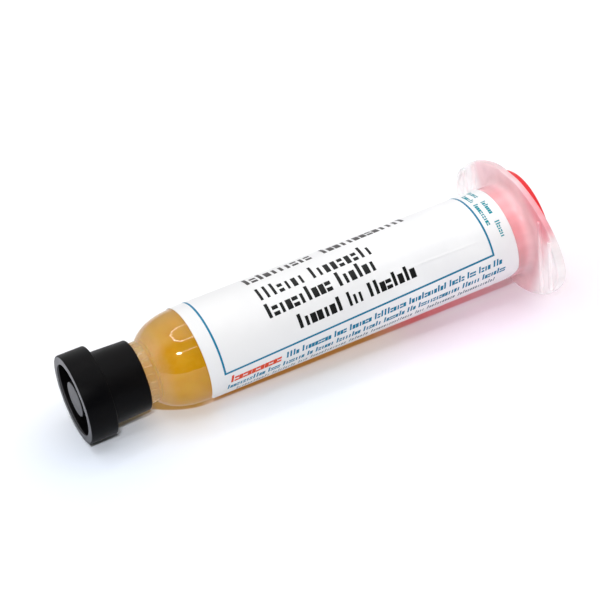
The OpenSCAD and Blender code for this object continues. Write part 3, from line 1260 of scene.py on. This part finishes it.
@dataclass
class FluxFill:
    """Amber flux: what stays in the dome and nozzle, and the column that the piston pushes."""

    radius: float = 7.965
    dome_depth: float = 10.215
    dome_power: float = 2.53
    outlet_radius: float = 1.165
    outlet_end: float = -19.87
    column_end: float = 41.2
    nose_radius: float = 7.03
    nose_depth: float = 9.4
    nose_power: float = 2.53
    travel: float = 40.0

    def front_profile(self) -> list[Point]:
        """Lists the profile of the flux ahead of the dome's plane.

        Returns:
            Points as (station, radius), with both ends on the axis.
        """
        dome = dome_points(self.radius, self.dome_depth, self.dome_power, self.outlet_radius)
        return [(self.outlet_end, 0.0), (self.outlet_end, self.outlet_radius), *reversed(dome), (0.0, 0.0)]

    def column_profile(self) -> list[Point]:
        """Lists the profile of the straight column, hollowed by the piston's nose.

        Returns:
            Points as (station, radius), with both ends on the axis.
        """
        nose = dome_points(self.nose_radius, self.nose_depth, self.nose_power)
        hollow = [(self.column_end + station, radius) for station, radius in nose]
        return [(0.0, 0.0), (0.0, self.radius), (self.column_end, self.radius), *hollow]

    def meshes(self) -> list[Mesh]:
        """Models the front part and the column."""
        return [lathe(points, closed=False) for points in (self.front_profile(), self.column_profile())]

    def dress(self, placement: Placement, finish: Material) -> list[SceneObject]:
        """Places the flux in its finish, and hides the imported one.

        Args:
            placement: Where the syringe lies.
            finish: The amber paste.

        Returns:
            The front part and the column.
        """
        names = ("flux_front", "flux_column")
        front, column = (
            make_piece(bm, name, placement, [finish]) for bm, name in zip(self.meshes(), names)
        )
        for piece in (front, column):
            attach(piece, "barrel")
        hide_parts("flux")
        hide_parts("flux")
        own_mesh(column)
        return [front, column]


@dataclass
class TurnedPart(ABC):
    """A part with a plain profile that is turned round the axis, with its edges softened."""

    softening: float = 0.1

    @abstractmethod
    def profile(self) -> list[Point]:
        """Lists the profile as (station, radius), with both ends on the axis."""

    def mesh(self) -> Mesh:
        """Models the part.

        Returns:
            The mesh, in syringe millimetres.
        """
        bm = lathe(self.profile(), closed=False)
        soften(bm, self.softening)
        return bm


@dataclass
class Piston(TurnedPart):
    """Red piston with a domed nose, two wiper lips and a hollow back."""

    softening: float = 0.18
    nose_tip: float = 31.8
    length: float = 21.8
    nose_length: float = 9.4
    nose_radius: float = 7.0
    nose_power: float = 2.53
    lip_radius: float = 7.91
    lip_width: float = 1.3
    lip_rise: float = 0.5
    waist_radius: float = 7.35
    cup_radius: float = 5.7
    cup_depth: float = 9.5

    def profile(self) -> list[Point]:
        """Lists the piston's profile.

        Returns:
            Points as (station, radius), with both ends on the axis.
        """
        foot, back = self.nose_tip + self.nose_length, self.nose_tip + self.length
        nose = dome_points(self.nose_radius, self.nose_length, self.nose_power)
        front_lip = foot + self.lip_rise
        cup_floor = back - self.cup_depth
        return [
            *[(foot + station, radius) for station, radius in reversed(nose)],
            (front_lip, self.lip_radius),
            (front_lip + self.lip_width, self.lip_radius),
            (front_lip + self.lip_width + self.lip_rise, self.waist_radius),
            (back - self.lip_width - self.lip_rise, self.waist_radius),
            (back - self.lip_width, self.lip_radius),
            (back, self.lip_radius),
            (back, self.cup_radius),
            (cup_floor, self.cup_radius),
            (cup_floor, 0.0),
        ]

    def dress(self, placement: Placement, finish: Material) -> SceneObject:
        """Places the piston in its finish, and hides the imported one.

        Args:
            placement: Where the syringe lies.
            finish: The red plastic.

        Returns:
            The piston.
        """
        piece = make_piece(self.mesh(), "piston_body", placement, [finish])
        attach(piece, "piston")
        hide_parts("piston")
        return piece


@dataclass
class TipCap(TurnedPart):
    """Black tip cap: a rim with a recess, a sleeve round the collar and a post in it."""

    rim_front: float = -24.8
    rim_back: float = -19.45
    rim_radius: float = 8.7
    recess_radius: float = 6.97
    recess_floor: float = -20.2
    post_front: float = -24.4
    post_radius: float = 3.42
    post_back: float = -12.05
    sleeve_radius: float = 7.15
    sleeve_end_radius: float = 6.9
    sleeve_bore: float = 5.55
    back: float = -11.82
    web_back: float = -18.4
    socket_mouth: float = 2.256
    socket_end: float = -20.4
    socket_end_radius: float = 2.005
    rounding: float = 0.3
    lip: float = 0.55
    lug_length: float = 1.2
    lug_width: float = 1.6
    lug_height: float = 0.45
    lug_sunk: float = 0.1
    lug_rounding: float = 0.12

    def profile(self) -> list[Point]:
        """Lists the cap's profile.

        Returns:
            Points as (station, radius), with both ends on the axis.
        """
        r, lip = self.rounding, self.lip
        return [
            (self.post_front, 0.0),
            (self.post_front, self.post_radius),
            (self.recess_floor, self.post_radius),
            (self.recess_floor, self.recess_radius),
            *corner_arc((self.rim_front + lip, self.recess_radius), lip, 90, 180, steps=5),
            *corner_arc((self.rim_front + r, self.rim_radius - r), r, 180, 90),
            *corner_arc((self.rim_back - r, self.rim_radius - r), r, 90, 0),
            (self.rim_back, self.sleeve_radius),
            *corner_arc((self.back - r, self.sleeve_end_radius - r), r, 90, 0),
            (self.back, self.sleeve_bore),
            (self.web_back, self.sleeve_bore),
            (self.web_back, self.post_radius),
            (self.post_back, self.post_radius),
            (self.post_back, self.socket_mouth),
            (self.socket_end, self.socket_end_radius),
            (self.socket_end, 0.0),
        ]

    def mesh(self) -> Mesh:
        """Models the cap, with the lugs of its post.

        Returns:
            The mesh, in syringe millimetres.
        """
        bm = super().mesh()
        size = Vector((self.lug_length, self.lug_width, self.lug_height + self.lug_sunk))
        above = self.post_radius + (self.lug_height - self.lug_sunk) / 2
        centre = Vector((self.post_back - self.lug_length / 2, 0.0, above))
        for turn in (0, 180):
            add_block(bm, centre, size, self.lug_rounding, turn=turn)
        return bm

    def dress(self, placement: Placement, finish: Material) -> SceneObject:
        """Places the tip cap in its finish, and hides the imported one.

        Args:
            placement: Where the syringe lies.
            finish: The black plastic.

        Returns:
            The cap.
        """
        piece = make_piece(self.mesh(), "tip_cap_body", placement, [finish])
        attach(piece, "tip_cap")
        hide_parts("tip_cap")
        return piece


@dataclass
class EndCap(TurnedPart):
    """Red end cap: a disc behind the flange, with a skirt inside the barrel."""

    disc_front: float = 70.22
    disc_back: float = 72.32
    disc_radius: float = 11.0
    disc_bevel: float = 0.4
    dish_radius: float = 8.6
    dish_depth: float = 0.25
    dish_slope: float = 0.35
    gate_radius: float = 1.1
    gate_rise: float = 0.12
    gate_slope: float = 0.25
    skirt_front: float = 60.6
    skirt_radius: float = 7.91
    skirt_wall: float = 1.1
    bead_width: float = 0.9
    bead_height: float = 0.2
    bead_gap: float = 0.12

    def profile(self) -> list[Point]:
        """Lists the end cap's profile.

        Returns:
            Points as (station, radius), with both ends on the axis.
        """
        b, h, low = self.bead_width, self.bead_height, self.skirt_radius - self.bead_height
        floor = self.disc_back - self.dish_depth
        rear_bead = self.disc_front - b - self.bead_gap
        bevel = self.disc_bevel
        return [
            (floor + self.gate_rise, 0.0),
            (floor + self.gate_rise, self.gate_radius),
            (floor, self.gate_radius + self.gate_slope),
            (floor, self.dish_radius),
            (self.disc_back, self.dish_radius + self.dish_slope),
            *corner_arc((self.disc_back - bevel, self.disc_radius - bevel), bevel, 0, 90, steps=5),
            *corner_arc((self.disc_front + bevel, self.disc_radius - bevel), bevel, 90, 180, steps=5),
            (self.disc_front, low),
            (rear_bead, low),
            (rear_bead - h, self.skirt_radius),
            (rear_bead - h - b, self.skirt_radius),
            (rear_bead - 2 * h - b, low),
            (self.skirt_front + 2 * b + 2 * h, low),
            (self.skirt_front + 2 * b + h, self.skirt_radius),
            (self.skirt_front + b + h, self.skirt_radius),
            (self.skirt_front, self.skirt_radius - 2 * h),
            (self.skirt_front, self.skirt_radius - self.skirt_wall),
            (self.disc_front, self.skirt_radius - self.skirt_wall),
            (self.disc_front, 0.0),
        ]

    def dress(self, placement: Placement, finish: Material) -> SceneObject:
        """Places the end cap in its finish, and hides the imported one.

        Args:
            placement: Where the syringe lies.
            finish: The red plastic.

        Returns:
            The end cap.
        """
        piece = make_piece(self.mesh(), "end_cap_body", placement, [finish])
        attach(piece, "end_cap")
        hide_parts("end_cap")
        return piece


@dataclass(frozen=True)
class Stroke:
    """One bar of print in label millimetres."""

    along: float
    across: float
    width: float
    height: float
    lean: float = 0.0


@dataclass(frozen=True)
class PrintRow:
    """A row of short bars that stands where the label has a line of print.

    It starts at (along, across) on its lower edge and runs to end. Words gives each group's share
    of the row, and gap the share between groups.
    """

    ink: Ink
    along: float
    across: float
    end: float
    height: float
    words: tuple[float, ...]
    gap: float = 0.7
    rise: float = 0.0
    weight: float = 0.94
    lean: float = 0.0
    column: bool = False


class Glyph(Enum):
    """Blocks of one cell of print, each as (width, foot, height) in shares of cell and row."""

    TALL = ((0.4, 0.0, 1.0),)
    PAIR = ((0.72, 0.0, 0.26), (0.72, 0.42, 0.26))
    THIN = ((0.36, 0.0, 0.68),)
    WIDE = ((0.68, 0.0, 0.68),)


GLYPH_LIMITS = ((0.16, Glyph.TALL), (0.36, Glyph.PAIR), (0.6, Glyph.THIN), (1.0, Glyph.WIDE))


@dataclass
class Label:
    """White label wrapped round the barrel, with its print as plain shapes."""

    length: float = 66.4
    width: float = 39.7
    turn: float = 106.4
    slant: float = 0.041
    corner: float = 4.0
    ahead: float = 1.4
    inner_radius: float = 9.32
    thickness: float = 0.09
    ink_top: float = 0.012
    ink_root: float = 0.01
    frame_line: float = 0.4
    frame_low: Point = (-30.2, -11.1)
    frame_high: Point = (27.9, 10.8)
    sheet_steps: tuple[int, int] = (28, 150)
    bar_steps: Point = (6.0, 0.4)
    cell: float = 0.5
    full_width: float = 0.72
    smooth_below: float = 50.0
    seed: int = 4489
    rows: tuple[PrintRow, ...] = (
        PrintRow(Ink.GREY, -19.1, -4.5, 16.2, 2.9, (11, 14), gap=1.6, weight=0.88),
        PrintRow(Ink.BLACK, -18.9, 0.5, 5.9, 2.9, (9, 12), gap=0.9, rise=0.012, weight=0.7),
        PrintRow(Ink.BLACK, -19.0, 4.35, 4.9, 2.9, (13, 8), gap=0.9, rise=-0.01, weight=0.86),
        PrintRow(Ink.BLACK, -14.1, 8.4, 11.6, 2.75, (9.6, 3.4, 10.4), gap=1.0, weight=0.92),
        PrintRow(Ink.RED, -29.6, 13.55, -18.9, 1.75, (1,), weight=0.98, lean=0.22),
        PrintRow(Ink.BLUE, -17.9, 13.35, 29.4, 1.4, (4, 9, 4, 7, 10, 12, 5, 3, 4, 3), lean=0.18),
        PrintRow(Ink.BLUE, -30.3, 15.4, 30.0, 1.35, (12, 4, 7, 2, 6, 8, 6, 7, 3, 14, 6, 8), lean=0.18),
        PrintRow(
            Ink.SLATE, -28.3, 17.35, 27.8, 1.15, (10, 7, 3, 11, 6, 13, 3, 9, 12), weight=0.72, lean=0.18
        ),
        PrintRow(Ink.TEAL, 28.9, -4.6, 5.1, 1.05, (4, 6), column=True),
        PrintRow(Ink.TEAL, 30.6, -5.4, 8.2, 1.05, (3, 3, 3), gap=1.4, column=True),
    )

    def wrap(self, along: float, across: float, radius: float) -> Vector:
        """Wraps a flat label point round the barrel.

        Args:
            along: Distance from the label's middle along it.
            across: Distance from its middle line, downwards on the side that the camera sees.
            radius: Distance from the syringe's axis.

        Returns:
            The syringe point.
        """
        station = self.length / 2 - self.ahead + along + self.slant * across
        turn = math.radians(self.turn) + (across - self.slant * along) / self.inner_radius
        return Vector((station, radius * math.cos(turn), radius * math.sin(turn)))

    def trim(self, across: float) -> float:
        """Gives how much the rounded corners take off each end of the label at across."""
        into = max(0.0, self.corner - (self.width / 2 - abs(across)))
        return self.corner - math.sqrt(max(0.0, self.corner**2 - into**2))

    def sheet_mesh(self) -> Mesh:
        """Models the label itself.

        Returns:
            The mesh, in syringe millimetres.
        """
        bm = bmesh.new()
        long_steps, round_steps = self.sheet_steps
        bmesh.ops.create_grid(bm, x_segments=long_steps, y_segments=round_steps, size=0.5)
        for vert in bm.verts:
            # The grid's lines stand closer together near both edges, where the corners are.
            share = vert.co.y + 0.5
            share = (share + (1 - math.cos(math.pi * share)) / 2) / 2
            across = (share - 0.5) * self.width
            along = vert.co.x * (self.length - 2 * self.trim(across))
            vert.co = self.wrap(along, across, self.inner_radius)
        bmesh.ops.recalc_face_normals(bm, faces=bm.faces)
        face = next(iter(bm.faces))
        middle = face.calc_center_median()
        if face.normal.dot(Vector((0.0, middle.y, middle.z))) < 0:
            bmesh.ops.reverse_faces(bm, faces=bm.faces)
        bmesh.ops.solidify(bm, geom=bm.faces[:], thickness=-self.thickness)
        face_outwards(bm, bm.faces[:])
        return bm

    def frame_strokes(self) -> list[tuple[Ink, Stroke]]:
        """Lists the four lines of the blue frame.

        Returns:
            Inks and bars.
        """
        (left, top), (right, bottom), line = self.frame_low, self.frame_high, self.frame_line
        wide, tall = right - left, bottom - top
        return [
            (Ink.BLUE, Stroke((left + right) / 2, top, wide + line, line)),
            (Ink.BLUE, Stroke((left + right) / 2, bottom, wide + line, line)),
            (Ink.BLUE, Stroke(left, (top + bottom) / 2, line, tall - line)),
            (Ink.BLUE, Stroke(right, (top + bottom) / 2, line, tall - line)),
        ]

    def row_strokes(self, row: PrintRow, dice: random.Random) -> list[tuple[Ink, Stroke]]:
        """Lists the bars of one row: short blocks on one foot line, some of them taller.

        Args:
            row: The row.
            dice: Source of the mixture.

        Returns:
            Inks and bars.
        """
        length = row.end - (row.across if row.column else row.along)
        unit = length / (sum(row.words) + row.gap * (len(row.words) - 1))
        strokes: list[tuple[Ink, Stroke]] = []
        done = 0.0
        for word in row.words:
            strokes += self.word_strokes(row, done, done + word * unit, dice)
            done += (word + row.gap) * unit
        return strokes

    def word_strokes(
        self, row: PrintRow, start: float, end: float, dice: random.Random
    ) -> list[tuple[Ink, Stroke]]:
        """Lists the bars of one group.

        Args:
            row: The row that the group belongs to.
            start: Where the group starts in the row.
            end: Where it ends.
            dice: Source of the mixture.

        Returns:
            Inks and bars.
        """
        count = max(1, round((end - start) / (self.cell * row.height)))
        cell = (end - start) / count
        full = row.weight * cell / self.full_width
        strokes: list[tuple[Ink, Stroke]] = []
        for i in range(count):
            draw = dice.random()
            glyph = next(glyph for limit, glyph in GLYPH_LIMITS if draw < limit)
            for width, foot, height in (glyph if i else Glyph.TALL).value:
                size = (width * full, height * row.height)
                mark = self.place_mark(row, start + (i + 0.5) * cell, foot * row.height, *size)
                strokes.append((row.ink, mark))
        return strokes

    @staticmethod
    def place_mark(row: PrintRow, run: float, foot: float, width: float, height: float) -> Stroke:
        """Places one block of a row.

        Args:
            row: The row.
            run: Distance of the block's middle from the row's start.
            foot: Distance of the block's foot from the row's.
            width: Width of the bar along the row.
            height: Height of the bar away from the row's foot.

        Returns:
            The bar.
        """
        middle = foot + height / 2
        if row.column:
            return Stroke(row.along + middle, row.across + run, height, width)
        line = row.across + row.rise * run
        shift = row.lean * middle
        return Stroke(row.along + run + shift, line - middle, width, height, row.lean)

    def print_mesh(self) -> Mesh:
        """Models the label's print as thin wrapped bars.

        Returns:
            The mesh in syringe millimetres, with the inks' numbers as material numbers.
        """
        dice = random.Random(self.seed)
        marks = self.frame_strokes()
        for row in self.rows:
            marks += self.row_strokes(row, dice)
        order = list(Ink)
        bm = bmesh.new()
        for ink, stroke in marks:
            long_step, cross_step = self.bar_steps
            place = (
                Matrix.Translation((stroke.along, stroke.across, 0.0))
                @ Matrix(((1, -stroke.lean, 0, 0), (0, 1, 0, 0), (0, 0, 1, 0), (0, 0, 0, 1)))
                @ Matrix.Diagonal((stroke.width, stroke.height, 1.0, 1.0))
            )
            made = bmesh.ops.create_grid(
                bm,
                x_segments=max(1, math.ceil(stroke.width / long_step)),
                y_segments=max(1, math.ceil(stroke.height / cross_step)),
                size=0.5,
                matrix=place,
            )
            for face in {f for v in made["verts"] for f in v.link_faces}:
                face.material_index = order.index(ink)
        bmesh.ops.solidify(bm, geom=bm.faces[:], thickness=self.ink_top + self.ink_root)
        surface = self.inner_radius + self.thickness
        heights = [v.co.z for v in bm.verts]
        low, span = min(heights), max(heights) - min(heights)
        for vert in bm.verts:
            lift = (vert.co.z - low) / span * (self.ink_top + self.ink_root) - self.ink_root
            vert.co = self.wrap(vert.co.x, vert.co.y, surface + lift)
        bm.normal_update()
        face_outwards(bm, bm.faces[:], consistent=True)
        return bm

    def dress(self, placement: Placement, film: Material, inks: list[Material]) -> list[SceneObject]:
        """Places the label and its print in their finishes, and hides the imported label.

        Args:
            placement: Where the syringe lies.
            film: The label's film.
            inks: The inks, in their order.

        Returns:
            The label and its print.
        """
        sheet = make_piece(self.sheet_mesh(), "label_film", placement, [film], self.smooth_below)
        printed = make_piece(self.print_mesh(), "label_print", placement, inks, self.smooth_below)
        for piece in (sheet, printed):
            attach(piece, "barrel")
        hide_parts("label")
        return [sheet, printed]


# Table, light and camera


@dataclass
class Table:
    """Table top under the flange's front edge and the tip cap's rim, which carry the syringe."""

    flange_station: float = 68.9
    flange_drop: float = 12.6
    rim_station: float = -24.5
    rim_drop: float = 8.7
    half_size: float = 1600.0
    steps: int = 8
    gap: float = 0.01

    def slope(self) -> float:
        """Gives the table's turn about Y, against the syringe's own axis."""
        rise = (self.flange_drop - self.rim_drop) / (self.flange_station - self.rim_station)
        return math.atan(rise)

    def mesh(self) -> Mesh:
        """Models the table top.

        Returns:
            The mesh, in syringe millimetres.
        """
        bm = bmesh.new()
        place = (
            Matrix.Translation((self.flange_station, 0.0, -self.flange_drop - self.gap))
            @ Matrix.Rotation(self.slope(), 4, "Y")
        )
        grid = {"x_segments": self.steps, "y_segments": self.steps, "size": self.half_size}
        bmesh.ops.create_grid(bm, matrix=place, **grid)
        return bm

    def dress(self, placement: Placement, finish: Material) -> SceneObject:
        """Places the table top in its finish.

        Args:
            placement: Where the syringe lies.
            finish: The table's material.

        Returns:
            The table top.
        """
        piece = make_piece(self.mesh(), "table_top", placement, [finish])
        return piece


@dataclass(frozen=True)
class Lamp:
    """A flat studio lamp that faces the syringe."""

    name: str
    azimuth: float
    elevation: float
    distance: float
    width: float
    depth: float
    power: float
    colour: Colour = (1.0, 1.0, 1.0)

    def build(self, target: Vector) -> SceneObject:
        """Adds the lamp.

        Args:
            target: Point that it faces, in frame metres.

        Returns:
            The lamp.
        """
        data = bpy.data.lights.new(self.name, "AREA")
        data.shape = "RECTANGLE"
        data.size, data.size_y = self.width, self.depth
        data.energy = self.power
        data.color = self.colour
        lamp = bpy.data.objects.new(self.name, data)
        azimuth, elevation = math.radians(self.azimuth), math.radians(self.elevation)
        back = Vector(
            (
                math.sin(azimuth) * math.cos(elevation),
                -math.cos(azimuth) * math.cos(elevation),
                math.sin(elevation),
            )
        )
        lamp.location = target + back * self.distance
        lamp.rotation_mode = "QUATERNION"
        lamp.rotation_quaternion = back.to_track_quat("Z", "Y")
        lamp.visible_transmission = False
        bpy.context.scene.collection.objects.link(lamp)
        return lamp


def hang_ribbon(
    name: str, outer: Sequence[Point], inner: Sequence[Point], height: float, radiance: float, closed: bool
) -> SceneObject:
    """Models a glowing ribbon overhead, which only mirrors and the object see.

    Args:
        name: Name of the ribbon.
        outer: Points of one edge, as (x, y) in frame millimetres.
        inner: Points of the other edge, one for each of the first edge's.
        height: Height over the frame's origin, in millimetres.
        radiance: Strength of its light.
        closed: Whether its ends meet.

    Returns:
        The ribbon.
    """
    bench = NodeBench(f"{name}_glow")
    bench.set(Base_Color=WHITE, Emission_Color=WHITE, Emission_Strength=radiance)
    bm = bmesh.new()
    edges = [[bm.verts.new((x, y, height)) for x, y in edge] for edge in (outer, inner)]
    count = len(edges[0])
    for i in range(count if closed else count - 1):
        j = (i + 1) % count
        bm.faces.new((edges[0][i], edges[1][i], edges[1][j], edges[0][j]))
    bm.transform(Matrix.Scale(MM, 4))
    mesh = bpy.data.meshes.new(name)
    bm.to_mesh(mesh)
    bm.free()
    mesh.materials.append(bench.material)
    ribbon = bpy.data.objects.new(name, mesh)
    bpy.context.scene.collection.objects.link(ribbon)
    ribbon.visible_transmission = False
    ribbon.visible_camera = False
    return ribbon


@dataclass(frozen=True)
class TubeLamp:
    """A light tube overhead, bent into a rounded rectangle."""

    name: str = "lamp_tube"
    low: Point = (-88.0, -118.0)
    high: Point = (250.0, 128.0)
    height: float = 400.0
    corner: float = 95.0
    width: float = 10.0
    radiance: float = 17.0

    def outline(self, inset: float, steps: int = 10) -> list[Point]:
        """Lists one edge of the tube.

        Args:
            inset: Distance from the tube's middle line towards its inside.
            steps: Number of pieces of each corner.

        Returns:
            Points as (x, y) in frame millimetres.
        """
        corner = self.corner - inset
        right, left = self.high[0] - self.corner, self.low[0] + self.corner
        back, front = self.high[1] - self.corner, self.low[1] + self.corner
        return [
            *corner_arc((right, back), corner, 0, 90, steps),
            *corner_arc((left, back), corner, 90, 180, steps),
            *corner_arc((left, front), corner, 180, 270, steps),
            *corner_arc((right, front), corner, 270, 360, steps),
        ]

    def build(self) -> SceneObject:
        """Models the tube as a glowing ribbon that faces down.

        Returns:
            The tube.
        """
        outer, inner = (self.outline(side * self.width / 2) for side in (-1, 1))
        return hang_ribbon(self.name, outer, inner, self.height, self.radiance, closed=True)


@dataclass(frozen=True)
class BarLamp:
    """A straight thin light bar overhead, along the syringe."""

    name: str = "lamp_bar"
    x: Point = (-128.0, 60.0)
    y: float = -349.0
    height: float = 400.0
    width: float = 7.0
    radiance: float = 22.0

    def build(self) -> SceneObject:
        """Models the bar as a glowing ribbon that faces down.

        Returns:
            The bar.
        """
        front, back = ([(x, self.y + side * self.width / 2) for x in self.x] for side in (-1, 1))
        return hang_ribbon(self.name, front, back, self.height, self.radiance, closed=False)


@dataclass
class Studio:
    """Soft light from above, a compact lamp over the camera, a bent light tube and a bar."""

    overhead: float = 0.86
    horizon: float = 0.42
    high_from: float = 0.85
    dark_side: tuple[float, float, float] = (-0.25, -0.92, 0.3)
    dark_edge: Point = (0.25, 0.7)
    dark_level: float = 0.08
    dim_level: float = 0.6
    mirrored: float = 1.9
    key: Lamp = Lamp(
        "lamp_front", azimuth=-21.6, elevation=46.8, distance=0.8, width=0.085, depth=0.015, power=2.6
    )
    key_target: float = 24.0
    tube: TubeLamp = TubeLamp()
    bar: BarLamp = BarLamp()

    def build_world(self) -> None:
        """Makes the room: white wherever it is seen, and a softer light elsewhere."""
        world = bpy.data.worlds.new("studio_room")
        bpy.context.scene.world = world
        world.use_nodes = True
        maker = NodeMaker(world.node_tree)
        path = maker.add("ShaderNodeLightPath")
        ray = maker.add("ShaderNodeTexCoord").outputs["Generated"]

        def along(way: Sequence[float]) -> Socket:
            """Gives how far the ray runs along a direction, from -1 to 1.

            Args:
                way: The direction.

            Returns:
                Cosine of the angle between them.
            """
            node = maker.add("ShaderNodeVectorMath", operation="DOT_PRODUCT")
            maker.link(ray, node.inputs[0])
            node.inputs[1].default_value = Vector(way).normalized()
            return node.outputs["Value"]

        through, gloss = path.outputs["Is Transmission Ray"], path.outputs["Is Glossy Ray"]
        seen = maker.math("MAXIMUM", path.outputs["Is Camera Ray"], through)
        seen = maker.product(seen, maker.math("LESS_THAN", path.outputs["Diffuse Depth"], 0.5))
        level = maker.spread(along(UP), 0.0, self.high_from, self.horizon, self.overhead)
        dark = maker.spread(along(self.dark_side), *self.dark_edge)
        mirror_loss = maker.product(gloss, self.dim_level - self.dark_level)
        loss = maker.math("ADD", mirror_loss, 1.0 - self.dim_level)
        kept = maker.math("SUBTRACT", 1.0, maker.product(dark, loss))
        gain = maker.math("ADD", maker.product(gloss, self.mirrored - 1.0), 1.0)
        level = maker.product(level, kept, gain, maker.math("SUBTRACT", 1.0, through))
        white = maker.product(seen, maker.math("SUBTRACT", 1.0, level))
        background = maker.found("BACKGROUND")
        background.inputs["Color"].default_value = WHITE
        maker.link(maker.math("ADD", level, white), background.inputs["Strength"])

    def build(self, placement: Placement) -> None:
        """Adds the room and the lamps.

        Args:
            placement: Where the syringe lies.
        """
        self.build_world()
        self.key.build(placement.point(self.key_target, 0.0, 0.0))
        self.tube.build()
        self.bar.build()


@dataclass
class ViewPoint:
    """Camera at the photograph's place, in frame millimetres."""

    place: tuple[float, float, float] = (-118.427, -282.846, 240.608)
    right: tuple[float, float, float] = (0.88473, -0.45336, -0.10821)
    up: tuple[float, float, float] = (0.34946, 0.49159, 0.79763)
    lens: float = 119.93
    sensor: float = 36.0
    clip: Point = (0.01, 20.0)

    def build(self) -> SceneObject:
        """Adds the camera and makes it the scene's.

        Returns:
            The camera.
        """
        data = bpy.data.cameras.new("camera")
        data.lens = self.lens
        data.sensor_width = self.sensor
        data.clip_start, data.clip_end = self.clip
        camera = bpy.data.objects.new("camera", data)
        right, up = Vector(self.right).normalized(), Vector(self.up)
        up = (up - right * up.dot(right)).normalized()
        turn = Matrix((right, up, right.cross(up))).transposed()
        camera.matrix_world = Matrix.Translation(Vector(self.place) * MM) @ turn.to_4x4()
        bpy.context.scene.collection.objects.link(camera)
        bpy.context.scene.camera = camera
        return camera


def report(pieces: Iterable[SceneObject]) -> None:
    """Logs each piece with its number of faces."""
    for piece in pieces:
        LOG.info("%s: %d faces", piece.name, len(piece.data.polygons))


def main() -> None:
    """Builds the dressed syringe, its table, the light and the camera."""
    logging.basicConfig(level=logging.INFO, format="%(name)s: %(message)s")
    placement = Placement.of_frame()
    clear = ClearPolypropylene().build(placement)
    amber = AmberFlux().build(placement)
    red, black = RED_POLYETHYLENE.build(placement), BLACK_POLYPROPYLENE.build(placement)
    inks = [PrintInk(f"ink_{ink.name.lower()}", ink).build(placement) for ink in Ink]
    pieces = [
        Barrel().dress(placement, clear),
        *FluxFill().dress(placement, amber),
        Piston().dress(placement, red),
        TipCap().dress(placement, black),
        EndCap().dress(placement, red),
        *Label().dress(placement, LabelFilm().build(placement), inks),
    ]
    report(pieces)
    Table().dress(placement, TableTop().build(placement))
    Studio().build(placement)
    ViewPoint().build()
    bpy.context.scene.view_settings.view_transform = "Standard"


if __name__ == "__main__":
    main()
